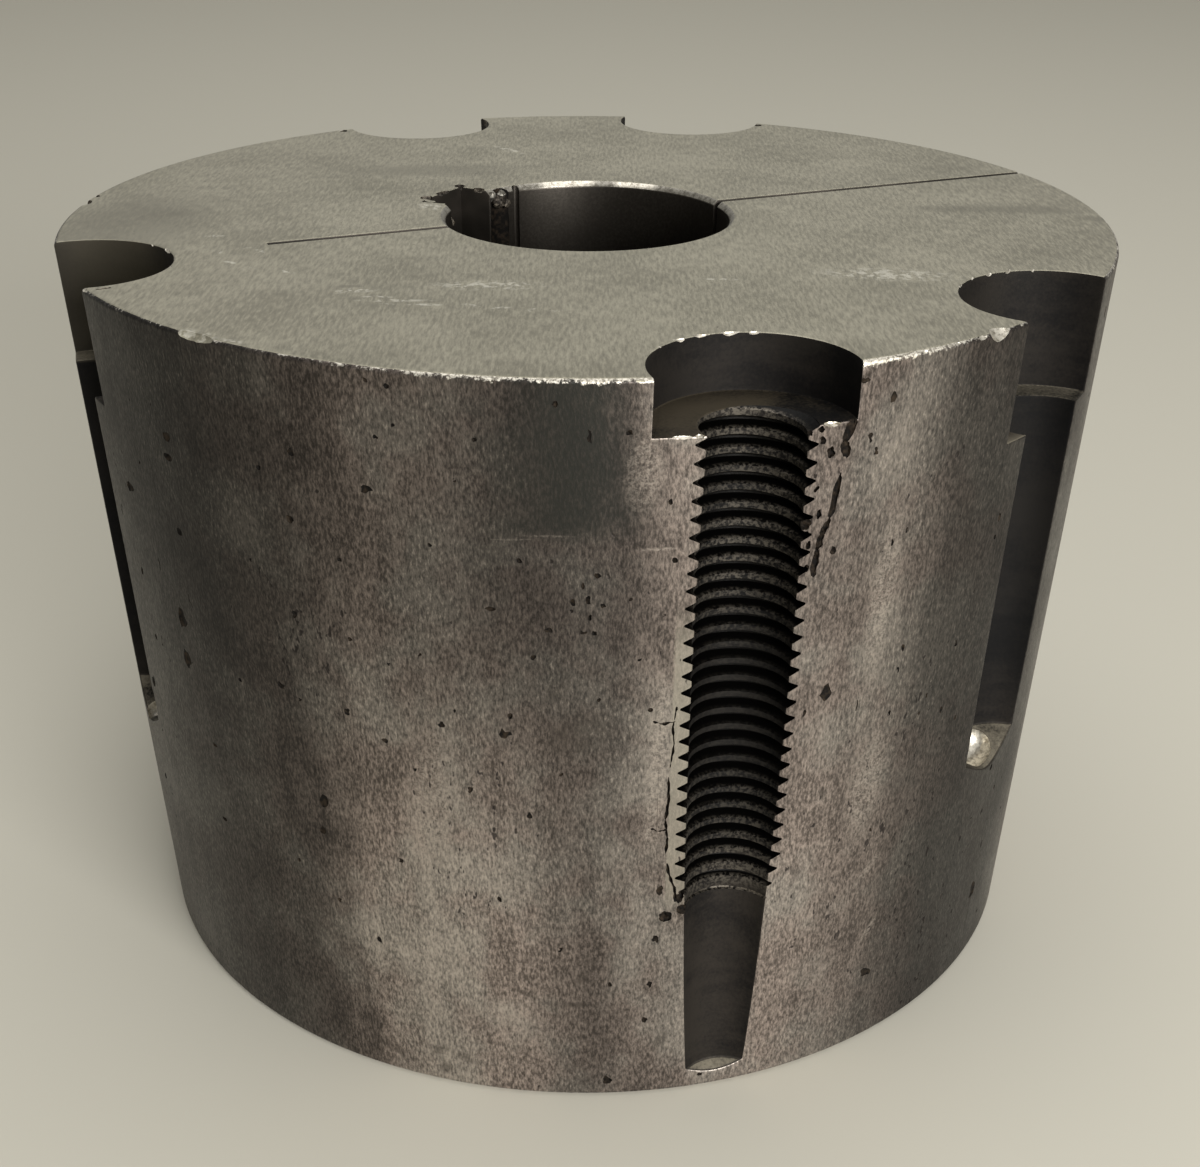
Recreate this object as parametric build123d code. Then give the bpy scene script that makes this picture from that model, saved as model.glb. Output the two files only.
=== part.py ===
from build123d import *
import math
import os

os.makedirs("parts", exist_ok=True)

# A split taper bush with five half-holes in the rim of its large end, three that take the
# clamping screws and two tapped ones that jack the bush out of its hub.
# The origin is the centre of the small end face, which the bush stands on. +Z runs up the
# bore to the large end, and +X runs out through the split. Millimetres and degrees.

# Tapered body
large_end_diameter = 127.0
body_length = 88.9
taper_half_angle = 4.0
large_edge_break = 0.3
small_edge_break = 0.5

# Bore and its keyway
bore_diameter = 34.93
bore_chamfer = 0.6
keyway_width = 7.94
keyway_depth = 3.97
keyway_angle = 127.6

# Saw cuts: the split goes right through the wall, the relief slit ends inside it
split_width = 0.9
relief_slit_width = 0.9
relief_slit_reach = 39.9

# Half-holes, all parallel to the bore, their centres on one circle
hole_circle_diameter = 122.68
clamp_hole_angles = (-58.3, 53.2, 180.7)
jack_hole_angle_step = 39.0
counterbore_diameter = 20.64

# Plain half-holes for the clamping screws
clamp_hole_diameter = 13.49
clamp_hole_floor = 33.7
clamp_counterbore_depth = 13.3

# Tapped half-holes for the jacking screws, at the size of their tapping drill
jack_hole_diameter = 10.5
jack_hole_floor = 3.1
jack_counterbore_depth = 6.0

drill_point_angle = 118.0

# Worked out from the sizes above
large_radius = large_end_diameter / 2
small_radius = large_radius - body_length * math.tan(math.radians(taper_half_angle))
bore_radius = bore_diameter / 2
jack_hole_angles = (
    clamp_hole_angles[0] - jack_hole_angle_step,
    clamp_hole_angles[1] + jack_hole_angle_step,
)
# How far a cutting tool runs past a face that it cuts through
overrun = 5.0


def turned_body():
    """The cone as it comes off the lathe: tapered outside, bored, with its edges broken."""
    slope = math.tan(math.radians(taper_half_angle))
    with BuildPart() as blank:
        with BuildSketch(Plane.XZ):
            Polygon(
                (bore_radius + bore_chamfer, 0),
                (small_radius - small_edge_break, 0),
                (small_radius + small_edge_break * slope, small_edge_break),
                (large_radius - large_edge_break * slope, body_length - large_edge_break),
                (large_radius - large_edge_break, body_length),
                (bore_radius + bore_chamfer, body_length),
                (bore_radius, body_length - bore_chamfer),
                (bore_radius, bore_chamfer),
                align=None,
            )
        revolve(axis=Axis.Z)
    return blank.part


def slot_from_axis(width, reach, angle):
    """A full-length cut of the given width, from the bore's axis out to the given radius."""
    cutter = Box(
        reach,
        width,
        body_length + 2 * overrun,
        align=(Align.MIN, Align.CENTER, Align.MIN),
    )
    return Rot(0, 0, angle) * Pos(0, 0, -overrun) * cutter


def drilled_hole(diameter, floor_height):
    """A drill's sweep about its own axis: full diameter down to the floor, then the point."""
    radius = diameter / 2
    point_height = radius / math.tan(math.radians(drill_point_angle / 2))
    top = body_length + overrun
    with BuildPart() as drill:
        with BuildSketch(Plane.XZ):
            Polygon(
                (0, floor_height - point_height),
                (radius, floor_height),
                (radius, top),
                (0, top),
                align=None,
            )
        revolve(axis=Axis.Z)
    return drill.part


def half_hole(angle, diameter, floor_height, counterbore_depth):
    """One counterbored hole on the hole circle; the taper leaves about half of its wall."""
    counterbore = Pos(0, 0, body_length - counterbore_depth) * Cylinder(
        counterbore_diameter / 2,
        counterbore_depth + overrun,
        align=(Align.CENTER, Align.CENTER, Align.MIN),
    )
    cutter = drilled_hole(diameter, floor_height) + counterbore
    return Rot(0, 0, angle) * Pos(hole_circle_diameter / 2, 0, 0) * cutter


def taper_bush():
    bush = turned_body()
    bush -= slot_from_axis(keyway_width, bore_radius + keyway_depth, keyway_angle)
    bush -= slot_from_axis(split_width, large_radius + overrun, 0)
    bush -= slot_from_axis(relief_slit_width, relief_slit_reach, 180)
    for angle in clamp_hole_angles:
        bush -= half_hole(
            angle, clamp_hole_diameter, clamp_hole_floor, clamp_counterbore_depth
        )
    for angle in jack_hole_angles:
        bush -= half_hole(
            angle, jack_hole_diameter, jack_hole_floor, jack_counterbore_depth
        )
    return bush


export_step(taper_bush(), "parts/taper_bush.step")
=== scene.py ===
import math
import random

import bmesh
import bpy
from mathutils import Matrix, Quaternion, Vector
from mathutils.geometry import intersect_point_line


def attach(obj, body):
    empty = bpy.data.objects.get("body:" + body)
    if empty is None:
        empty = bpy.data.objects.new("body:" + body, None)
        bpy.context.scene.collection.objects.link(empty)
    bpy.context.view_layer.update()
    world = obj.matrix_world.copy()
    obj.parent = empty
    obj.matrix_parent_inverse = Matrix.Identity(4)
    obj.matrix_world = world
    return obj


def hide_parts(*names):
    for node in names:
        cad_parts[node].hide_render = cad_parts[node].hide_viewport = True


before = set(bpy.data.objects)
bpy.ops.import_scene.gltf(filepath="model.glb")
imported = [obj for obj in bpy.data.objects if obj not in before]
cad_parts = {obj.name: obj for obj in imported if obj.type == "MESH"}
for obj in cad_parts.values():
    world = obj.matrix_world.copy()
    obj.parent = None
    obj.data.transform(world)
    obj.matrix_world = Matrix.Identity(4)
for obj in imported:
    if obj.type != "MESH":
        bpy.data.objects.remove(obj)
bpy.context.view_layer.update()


# The blank: a cone of grey iron, turned outside, faced on both ends and bored through.
# Years of oil have browned the turned taper, and the large end is rubbed pale. The side and
# the ends have a finish each, of grain, blotches, flecks of rust, stains and scuffs; the side's also
# holds painted sheen and shade.

MM = 0.001
SIDES = 240
BODY_LENGTH = 88.9 * MM
LARGE_RADIUS = 63.5 * MM
TAPER = math.tan(math.radians(4.0))
SMALL_RADIUS = LARGE_RADIUS - BODY_LENGTH * TAPER
BORE_RADIUS = 17.465 * MM
BORE_CHAMFER = 0.6 * MM
LARGE_EDGE_BREAK = 0.3 * MM
SMALL_EDGE_BREAK = 0.5 * MM
# Two points this near to each other count as one place.
SAME = 0.01 * MM


def put(tree, kind, **settings):
    made = tree.nodes.new(kind)
    for name, value in settings.items():
        setattr(made, name, value)
    return made


def feed(tree, socket, value):
    if isinstance(value, bpy.types.NodeSocket):
        tree.links.new(value, socket)
    elif value is not None:
        socket.default_value = value


def maths(tree, operation, first, second=None):
    made = put(tree, "ShaderNodeMath", operation=operation)
    feed(tree, made.inputs[0], first)
    feed(tree, made.inputs[1], second)
    return made.outputs[0]


def spread(tree, value, low, high, to_low=0.0, to_high=1.0):
    """Where a value lies between two limits, softly, as a share or on another scale."""
    made = put(tree, "ShaderNodeMapRange", interpolation_type="SMOOTHSTEP")
    feed(tree, made.inputs["Value"], value)
    feed(tree, made.inputs["From Min"], low)
    feed(tree, made.inputs["From Max"], high)
    feed(tree, made.inputs["To Min"], to_low)
    feed(tree, made.inputs["To Max"], to_high)
    return made.outputs["Result"]


def blend(tree, share, first, second, mode="MIX"):
    made = put(tree, "ShaderNodeMix", data_type="RGBA", blend_type=mode)
    feed(tree, made.inputs[0], share)
    feed(tree, made.inputs[6], first)
    feed(tree, made.inputs[7], second)
    return made.outputs[2]


def stretched(tree, vector, scale, turn=0.0):
    """The vector turned about Z, then scaled, so that a texture can run any one way."""
    if turn:
        turned = put(tree, "ShaderNodeVectorRotate", rotation_type="Z_AXIS")
        feed(tree, turned.inputs["Vector"], vector)
        turned.inputs["Angle"].default_value = turn
        vector = turned.outputs[0]
    made = put(tree, "ShaderNodeVectorMath", operation="MULTIPLY")
    feed(tree, made.inputs[0], vector)
    made.inputs[1].default_value = scale
    return made.outputs[0]


def noise(tree, vector, scale, detail, roughness=0.55):
    made = put(tree, "ShaderNodeTexNoise")
    feed(tree, made.inputs["Vector"], vector)
    made.inputs["Scale"].default_value = scale
    made.inputs["Detail"].default_value = detail
    made.inputs["Roughness"].default_value = roughness
    return made.outputs["Fac"]


def ramp(tree, value, stops):
    """A smooth run of greys along a value, from pairs of place and level."""
    made = put(tree, "ShaderNodeValToRGB")
    made.color_ramp.interpolation = "EASE"
    while len(made.color_ramp.elements) < len(stops):
        made.color_ramp.elements.new(0.5)
    for element, (place, level) in zip(made.color_ramp.elements, stops):
        element.position = place
        element.color = (level, level, level, 1)
    feed(tree, made.inputs["Fac"], value)
    return made.outputs["Color"]


def new_group(name, takes, gives):
    tree = bpy.data.node_groups.new(name, "ShaderNodeTree")
    for label, kind in takes:
        tree.interface.new_socket(label, in_out="INPUT", socket_type=kind)
    for label, kind in gives:
        tree.interface.new_socket(label, in_out="OUTPUT", socket_type=kind)
    return tree, tree.nodes.new("NodeGroupInput"), tree.nodes.new("NodeGroupOutput")


def use_group(tree, group, **values):
    made = put(tree, "ShaderNodeGroup", node_tree=group)
    for label, value in values.items():
        feed(tree, made.inputs[label], value)
    return made.outputs


def iron_grain():
    """Fine fibres and soft blotches, from one vector in metres."""
    tree, given, out = new_group(
        "iron grain",
        [("Vector", "NodeSocketVector")],
        [("Grain", "NodeSocketFloat"), ("Blotch", "NodeSocketFloat")],
    )
    feed(tree, out.inputs["Grain"], noise(tree, given.outputs["Vector"], 2700.0, 2.0, 0.7))
    feed(tree, out.inputs["Blotch"], noise(tree, given.outputs["Vector"], 75.0, 3.0, 0.62))
    return tree


def rust_flecks():
    """Ragged dark flecks of rust, thick in some places and absent in others."""
    tree, given, out = new_group(
        "rust flecks",
        [("Vector", "NodeSocketVector"), ("Amount", "NodeSocketFloat")],
        [("Flecks", "NodeSocketFloat")],
    )
    ragged = noise(tree, given.outputs["Vector"], 950.0, 2.0, 0.75)
    thick = noise(tree, given.outputs["Vector"], 50.0, 2.0)
    thick = maths(tree, "MULTIPLY", maths(tree, "SUBTRACT", thick, 0.5), 0.4)
    amount = maths(tree, "MULTIPLY", given.outputs["Amount"], 0.08)
    level = maths(tree, "ADD", maths(tree, "ADD", ragged, thick), amount)
    feed(tree, out.inputs["Flecks"], spread(tree, level, 0.75, 0.81))
    return tree


def scuff_stroke():
    """One soft stroke on a flat run of millimetres: its middle, its lie and its two halves."""
    tree, given, out = new_group(
        "scuff stroke",
        [
            ("Vector", "NodeSocketVector"),
            ("Middle", "NodeSocketVector"),
            ("Lie", "NodeSocketFloat"),
            ("Halves", "NodeSocketVector"),
            ("Grit", "NodeSocketFloat"),
        ],
        [("Stroke", "NodeSocketFloat")],
    )
    off = put(tree, "ShaderNodeVectorMath", operation="SUBTRACT")
    feed(tree, off.inputs[0], given.outputs["Vector"])
    feed(tree, off.inputs[1], given.outputs["Middle"])
    turned = put(tree, "ShaderNodeVectorRotate", rotation_type="Z_AXIS")
    feed(tree, turned.inputs["Vector"], off.outputs[0])
    feed(tree, turned.inputs["Angle"], given.outputs["Lie"])
    scaled = put(tree, "ShaderNodeVectorMath", operation="DIVIDE")
    feed(tree, scaled.inputs[0], turned.outputs[0])
    feed(tree, scaled.inputs[1], given.outputs["Halves"])
    away = put(tree, "ShaderNodeVectorMath", operation="LENGTH")
    feed(tree, away.inputs[0], scaled.outputs[0])
    soft = spread(tree, away.outputs["Value"], 1.1, 0.3)
    feed(tree, out.inputs["Stroke"], maths(tree, "MULTIPLY", soft, given.outputs["Grit"]))
    return tree


def strokes(tree, flat, grit, marks):
    """All of a finish's scuff strokes in one mask."""
    total = None
    for across, along, lie, half_long, half_wide in marks:
        made = use_group(
            tree,
            SCUFF,
            Vector=flat,
            Middle=(across, along, 0),
            Lie=math.radians(-lie),
            Halves=(half_long, half_wide, 1),
            Grit=grit,
        )["Stroke"]
        total = made if total is None else maths(tree, "MAXIMUM", total, made)
    return total


def finish_shader(material, color, roughness, metallic, height, strength, depth):
    """Ends a material in one Principled shader, with a bump of some depth from the height."""
    tree = material.node_tree
    shader = tree.nodes["Principled BSDF"]
    feed(tree, shader.inputs["Base Color"], color)
    feed(tree, shader.inputs["Roughness"], roughness)
    feed(tree, shader.inputs["Metallic"], metallic)
    made = put(tree, "ShaderNodeBump")
    made.inputs["Strength"].default_value = strength
    made.inputs["Distance"].default_value = depth
    feed(tree, made.inputs["Height"], height)
    feed(tree, shader.inputs["Normal"], made.outputs["Normal"])


def new_material(name):
    """A material with nodes, its node tree, and the place on the bush in metres."""
    material = bpy.data.materials.new(name)
    material.use_nodes = True
    where = put(material.node_tree, "ShaderNodeTexCoord").outputs["Object"]
    return material, material.node_tree, where


GRAIN = iron_grain()
FLECKS = rust_flecks()
SCUFF = scuff_stroke()

# Bare iron's dull and bright grains.
BARE_DULL = (0.26, 0.235, 0.19, 1)
BARE_BRIGHT = (0.62, 0.58, 0.5, 1)

# How clean the taper is, high up and low down, in pairs of turn and level; the levels also hold painted
# light: painted bands of sheen and shade round the taper, and low down a painted reflection of the floor.
# The turn runs from
# 0 opposite the split through 0.5 at the split to 1 opposite it again.
HIGH_PATINA_AND_PAINTED_LIGHT = (
    (0.00, 0.28), (0.05, 0.13), (0.07, 0.15), (0.10, 0.36), (0.13, 0.86), (0.15, 0.70), (0.17, 0.42),
    (0.195, 0.5), (0.211, 1.12), (0.262, 1.0), (0.275, 1.02), (0.294, 0.36), (0.316, 0.24), (0.34, 0.3),
    (0.42, 0.80), (0.52, 0.55), (0.60, 0.90), (0.70, 0.55), (0.80, 0.75), (0.90, 0.50), (1.0, 0.30),
)
LOW_PATINA_AND_PAINTED_LIGHT = (
    (0.00, 0.40), (0.07, 0.36), (0.10, 0.56), (0.112, 1.0), (0.125, 1.95), (0.16, 1.98), (0.19, 0.95),
    (0.205, 1.3), (0.248, 1.78), (0.27, 1.3), (0.289, 0.66), (0.311, 0.25), (0.35, 0.21),
    (0.42, 1.20), (0.52, 0.75), (0.62, 1.20), (0.72, 0.80), (0.85, 1.10), (0.94, 0.55), (1.0, 0.40),
)

# How many millimetres of the taper's top edge are rubbed bright, at each turn.
RIM_WEAR = (
    (0.00, 0.02), (0.07, 0.02), (0.10, 0.06), (0.14, 0.20), (0.155, 0.36), (0.195, 0.42),
    (0.25, 0.90), (0.275, 0.60), (0.29, 0.25), (0.34, 0.15), (0.50, 0.25), (0.75, 0.15), (1.0, 0.02),
)

# Pale scuffs and dark stains on the taper: millimetres round it from the split, at the
# girth below, then height, lie in degrees, and half sizes along and across the lie.
GIRTH = 377.0
SIDE_SCUFFS = (
    (-121.4, 72.7, 0, 3.2, 0.16), (-124.6, 72.2, 3, 2.4, 0.14), (-111.2, 71.2, 0, 2.4, 0.25),
    (-126.9, 29.8, 10, 1.3, 0.9), (-126.5, 27.4, -10, 1.3, 0.6), (-127.0, 12.0, 5, 4.4, 2.6),
    (-134.0, 25.6, -68, 4.8, 0.6), (-131.0, 18.7, -60, 3.8, 0.45), (-137.5, 19.0, -20, 2.2, 0.3),
    (-111.0, 37.2, 85, 1.8, 0.5), (-112.4, 79.5, 88, 6.0, 2.2), (-86.6, 62.0, 88, 13.0, 2.2),
    (-85.9, 39.4, 80, 2.6, 1.0), (-83.4, 26.4, 48, 3.0, 0.7), (-82.0, 17.0, 55, 2.6, 0.6),
    (-110.2, 46.0, 88, 14.0, 1.6), (-134.0, 40.0, 86, 12.0, 3.4), (-85.4, 38.5, 86, 9.0, 3.2),
)
SIDE_STAINS = (
    (-135.3, 4.9, 30, 1.7, 0.9), (-132.3, 4.4, -15, 1.8, 0.9), (-134.6, 2.3, 60, 1.2, 1.0),
    (-119.4, 13.8, 0, 4.2, 0.5), (-124.6, 15.2, -25, 2.0, 0.4), (-118.0, 17.8, 55, 1.6, 0.9),
    (-108.8, 8.1, 65, 1.9, 0.8), (-120.7, 55.3, 60, 1.5, 1.0), (-118.0, 50.0, 20, 5.0, 3.0),
    (-141.5, 3.5, -20, 5.0, 0.8), (-106.4, 25.8, 60, 2.0, 1.0),
)
# Where the taper's rust flecks stand thickest, in the same way.
RUST_FIELDS = ((-129.5, 34.0, 90, 20.0, 8.0), (-78.0, 50.0, 85, 12.0, 5.0), (-150.0, 60.0, 90, 22.0, 9.0))

# The same for the large end, whose strokes are placed by X and Y from the bore's axis.
END_SCUFFS = (
    (-44.9, 5.8, -22, 1.5, 0.6), (-46.0, -1.7, -70, 1.2, 0.6), (-42.6, -1.1, -22, 1.2, 0.35),
    (-41.5, -3.1, -80, 1.2, 0.5), (-45.7, -6.6, -60, 1.2, 0.5), (-44.5, -9.9, -40, 1.2, 0.8),
    (-40.7, -12.9, -60, 1.6, 0.5), (-37.6, -22.6, -22, 0.9, 0.6), (-35.6, -22.6, -22, 2.6, 1.1),
    (-33.0, -27.8, -22, 4.6, 0.6), (-31.4, -30.0, -26, 4.0, 0.5), (-34.4, -25.9, -22, 2.0, 0.6),
    (-26.2, -32.3, -50, 1.3, 0.45), (-23.7, -34.4, -10, 1.3, 0.5), (-21.1, -36.3, 40, 1.2, 0.45),
    (-18.4, -37.9, -32, 1.3, 0.45), (3.7, 39.0, -72, 4.4, 1.0), (-16.8, 10.3, -60, 2.6, 1.7),
    (2.0, -33.0, -25, 3.0, 0.5), (-22.0, -26.0, -22, 7.0, 2.2), (20.0, -38.0, -30, 9.0, 3.0),
    (-54.4, -31.8, -60, 3.4, 1.3), (-51.6, -35.4, -56, 1.6, 0.8),
)
END_STAINS = (
    (48.5, -17.0, -24, 15.0, 2.6), (-54.0, 14.0, 60, 22.0, 12.0), (-36.0, -20.9, -22, 1.6, 0.7),
    (57.0, -26.0, -60, 3.4, 1.6), (-10.0, 30.0, -20, 14.0, 5.0),
)


def turned_taper():
    """Browned iron with the grain up and down, flecked with rust, with painted bands of sheen and shade
    round it, and paler low down as a painted reflection of the floor.
    """
    material, tree, where = new_material("turned taper")
    split = put(tree, "ShaderNodeSeparateXYZ")
    feed(tree, split.inputs[0], where)
    level = split.outputs["Z"]
    fibre = use_group(tree, GRAIN, Vector=stretched(tree, where, (1.32, 1.32, 0.52)))["Grain"]
    streak = noise(tree, stretched(tree, where, (1.0, 1.0, 0.16)), 420.0, 2.0, 0.6)
    even = use_group(tree, GRAIN, Vector=where)
    cloudy = even["Blotch"]
    round_way = maths(tree, "ARCTAN2", split.outputs["Y"], split.outputs["X"])
    round_way = maths(tree, "ADD", maths(tree, "MULTIPLY", round_way, 1 / math.tau), 0.5)

    tone = maths(tree, "MULTIPLY", fibre, 0.75)
    tone = maths(tree, "ADD", tone, maths(tree, "MULTIPLY", streak, 0.18))
    tone = maths(tree, "ADD", tone, maths(tree, "MULTIPLY", cloudy, 0.4))
    tone = spread(tree, tone, 0.46, 0.92)
    brown = blend(tree, tone, (0.036, 0.029, 0.024, 1), (0.235, 0.193, 0.166, 1))
    grey = blend(tree, tone, (0.04, 0.036, 0.031, 1), (0.218, 0.192, 0.165, 1))
    color = blend(tree, spread(tree, cloudy, 0.42, 0.6), brown, grey)

    wander = maths(tree, "MULTIPLY", maths(tree, "SUBTRACT", cloudy, 0.5), 0.03)
    wandered = maths(tree, "ADD", round_way, wander)
    # Patina with painted light in it: painted bands of sheen and shade round the taper, and a paler lower
    # part that is a painted reflection of the floor.
    high = ramp(tree, wandered, HIGH_PATINA_AND_PAINTED_LIGHT)
    low = ramp(tree, wandered, LOW_PATINA_AND_PAINTED_LIGHT)
    patina_and_painted_light = blend(tree, spread(tree, level, 68 * MM, 22 * MM), high, low)
    color = blend(tree, 1.0, color, patina_and_painted_light, "MULTIPLY")

    # A dark patch, high up and left of the front thread.
    dark_patch = spread(tree, wandered, 0.158, 0.180)
    dark_patch = maths(tree, "MULTIPLY", dark_patch, spread(tree, wandered, 0.203, 0.184))
    dark_patch = maths(tree, "MULTIPLY", dark_patch, spread(tree, level, 71.4 * MM, 73.7 * MM))
    patch_darkness = spread(tree, fibre, 0.4, 0.66, 0.93, 0.74)
    color = blend(tree, maths(tree, "MULTIPLY", dark_patch, patch_darkness), color, (0.018, 0.018, 0.015, 1))

    # The taper unrolled flat, in millimetres: its stains, its scuffs, and between them the
    # pale strip along the edge of the front thread.
    unrolled = put(tree, "ShaderNodeCombineXYZ")
    round_from_split = maths(tree, "MULTIPLY", maths(tree, "SUBTRACT", round_way, 0.5), GIRTH)
    feed(tree, unrolled.inputs[0], round_from_split)
    feed(tree, unrolled.inputs[1], maths(tree, "MULTIPLY", level, 1 / MM))
    flat = unrolled.outputs[0]
    stained = strokes(tree, flat, spread(tree, streak, 0.3, 0.6, 0.3, 1.0), SIDE_STAINS)
    color = blend(tree, maths(tree, "MULTIPLY", stained, 0.6), color, (0.045, 0.037, 0.03, 1))
    strip = spread(tree, round_way, 0.2106, 0.2116)
    strip = maths(tree, "MULTIPLY", strip, spread(tree, round_way, 0.2185, 0.2180))
    strip = maths(tree, "MULTIPLY", strip, spread(tree, level, 66 * MM, 58 * MM))
    strip = maths(tree, "MULTIPLY", strip, spread(tree, level, 26 * MM, 30 * MM))
    color = blend(tree, maths(tree, "MULTIPLY", strip, 0.5), color, (0.3, 0.275, 0.22, 1))
    grit = spread(tree, even["Grain"], 0.4, 0.66, 0.1, 1.0)
    scuffed = maths(tree, "MULTIPLY", strokes(tree, flat, grit, SIDE_SCUFFS), 0.5)
    rubbed = maths(tree, "MULTIPLY", spread(tree, fibre, 0.58, 0.74), spread(tree, cloudy, 0.44, 0.6))
    pale = maths(tree, "MAXIMUM", scuffed, maths(tree, "MULTIPLY", rubbed, 0.4))
    pale = maths(tree, "MULTIPLY", pale, spread(tree, patina_and_painted_light, 0.2, 1.1, 0.3, 1.0))
    color = blend(tree, pale, color, (0.42, 0.365, 0.31, 1))

    # The top edge, rubbed bright over a ragged width.
    width = maths(tree, "MULTIPLY", ramp(tree, round_way, RIM_WEAR), MM)
    ragged = maths(tree, "SUBTRACT", even["Grain"], 0.5)
    ragged = maths(tree, "ADD", ragged, maths(tree, "SUBTRACT", streak, 0.5))
    ragged = maths(tree, "ADD", maths(tree, "MULTIPLY", ragged, 1.1 * MM), width)
    edge = maths(tree, "ADD", level, ragged)
    worn = spread(tree, edge, BODY_LENGTH, BODY_LENGTH + 0.3 * MM)
    bright = blend(tree, spread(tree, even["Grain"], 0.35, 0.62), BARE_DULL, BARE_BRIGHT)
    color = blend(tree, worn, color, bright)

    # Flecks of rust lie over all of it, fewest in the dark patch.
    thick = strokes(tree, flat, 1.0, RUST_FIELDS)
    thick = maths(tree, "ADD", maths(tree, "MULTIPLY", thick, 1.1), 0.5)
    upright = stretched(tree, where, (1.0, 1.0, 0.5))
    flecks = use_group(tree, FLECKS, Vector=upright, Amount=thick)["Flecks"]
    dry = maths(tree, "SUBTRACT", 1.0, maths(tree, "MULTIPLY", dark_patch, 0.7))
    flecks = maths(tree, "MULTIPLY", flecks, dry)
    color = blend(tree, maths(tree, "MULTIPLY", flecks, 0.85), color, (0.012, 0.009, 0.007, 1))
    shine = spread(tree, tone, 0.1, 0.9, 0.48, 0.4)
    shine = maths(tree, "ADD", shine, maths(tree, "MULTIPLY", flecks, 0.3))
    finish_shader(material, color, shine, 0.8, maths(tree, "SUBTRACT", fibre, flecks), 0.3, 0.0001)
    return material


def faced_end():
    """Faced iron, rubbed to a pale warm grey, with scuffs and a few flecks of rust."""
    material, tree, where = new_material("faced end")
    along_lie = stretched(tree, where, (1.0, 0.16, 1.0), math.radians(22.7))
    grain = use_group(tree, GRAIN, Vector=along_lie)["Grain"]
    cloudy = use_group(tree, GRAIN, Vector=where)["Blotch"]
    tone = maths(tree, "ADD", grain, maths(tree, "MULTIPLY", cloudy, 0.6))
    tone = spread(tree, tone, 0.5, 1.1)
    color = blend(tree, tone, (0.215, 0.199, 0.15, 1), (0.395, 0.368, 0.287, 1))
    millimetres = stretched(tree, where, (1 / MM, 1 / MM, 0.0))
    stained = strokes(tree, millimetres, spread(tree, grain, 0.2, 0.6, 0.6, 1.0), END_STAINS)
    color = blend(tree, maths(tree, "MULTIPLY", stained, 0.42), color, (0.13, 0.12, 0.093, 1))
    grit = spread(tree, noise(tree, where, 1300.0, 2.0), 0.46, 0.62, 0.0, 1.0)
    scuffed = strokes(tree, millimetres, grit, END_SCUFFS)
    color = blend(tree, maths(tree, "MULTIPLY", scuffed, 0.7), color, (0.66, 0.63, 0.54, 1))
    flecks = use_group(tree, FLECKS, Vector=where, Amount=0.2)["Flecks"]
    color = blend(tree, maths(tree, "MULTIPLY", flecks, 0.5), color, (0.08, 0.07, 0.052, 1))
    shine = spread(tree, grain, 0.3, 0.7, 0.44, 0.54)
    finish_shader(material, color, shine, 0.85, grain, 0.14, 0.0001)
    return material


def clear():
    """Back to object mode with nothing selected."""
    if bpy.context.mode != "OBJECT":
        bpy.ops.object.mode_set(mode="OBJECT")
    bpy.ops.object.select_all(action="DESELECT")


def only(piece):
    clear()
    piece.select_set(True)
    bpy.context.view_layer.objects.active = piece


def edit(piece, kind="FACE"):
    only(piece)
    bpy.ops.object.mode_set(mode="EDIT")
    bpy.ops.mesh.select_mode(type=kind)
    bpy.ops.mesh.select_all(action="DESELECT")


def pick(piece, test, kind="FACE"):
    """Selects what passes the test, given a face's middle and normal or an edge's two ends."""
    edit(piece, kind)
    bpy.ops.object.mode_set(mode="OBJECT")
    mesh = piece.data
    if kind == "FACE":
        for face in mesh.polygons:
            face.select = test(face.center, face.normal)
    else:
        for edge in mesh.edges:
            ends = [mesh.vertices[i].co for i in edge.vertices]
            edge.select = test(ends[0], ends[1])
    bpy.ops.object.mode_set(mode="EDIT")


def done(piece, material=None):
    """Leaves edit mode and puts the piece's place into its mesh."""
    only(piece)
    bpy.ops.object.transform_apply(location=True, rotation=True, scale=True)
    if material is not None:
        piece.data.materials.append(material)
    return piece


TURNED = turned_taper()
FACED = faced_end()

clear()
bpy.ops.mesh.primitive_cone_add(
    vertices=SIDES,
    radius1=SMALL_RADIUS,
    radius2=LARGE_RADIUS,
    depth=BODY_LENGTH,
    location=(0, 0, BODY_LENGTH / 2),
)
bush = bpy.context.object
bush.name = "taper_bush_iron"
done(bush, TURNED)
bush.data.materials.append(FACED)

# Each end is inset to the bore, and the two discs left in the middle are bridged.
flat_to_corner = math.cos(math.pi / SIDES)
for height, radius in ((0.0, SMALL_RADIUS), (BODY_LENGTH, LARGE_RADIUS)):
    pick(bush, lambda middle, normal, z=height: abs(middle.z - z) < SAME and abs(normal.z) > 0.9)
    bpy.ops.mesh.inset(thickness=(radius - BORE_RADIUS) * flat_to_corner)
pick(bush, lambda middle, normal: abs(normal.z) > 0.9 and middle.xy.length < 10 * SAME)
bpy.ops.mesh.bridge_edge_loops()


def on_ring(radius, height):
    """A test for the edges of one round edge of the blank."""
    def test(start, end):
        level = abs(start.z - height) < SAME and abs(end.z - height) < SAME
        return level and abs(start.xy.length - radius) < 2 * SAME and (start - end).length < 3 * MM
    return test


for radius, height, size in (
    (BORE_RADIUS, 0.0, BORE_CHAMFER),
    (BORE_RADIUS, BODY_LENGTH, BORE_CHAMFER),
    (LARGE_RADIUS, BODY_LENGTH, LARGE_EDGE_BREAK),
    (SMALL_RADIUS, 0.0, SMALL_EDGE_BREAK),
):
    pick(bush, on_ring(radius, height), "EDGE")
    bpy.ops.mesh.bevel(offset=size, segments=1, affect="EDGES")


# The bore, its keyway and the two saw cuts: the split runs right through the wall so that
# the bush can close on a shaft, the relief slit opposite stops half way. The bore is
# turned smooth and dark with oil, the keyway is broached, and the cuts are dark inside.

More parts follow.
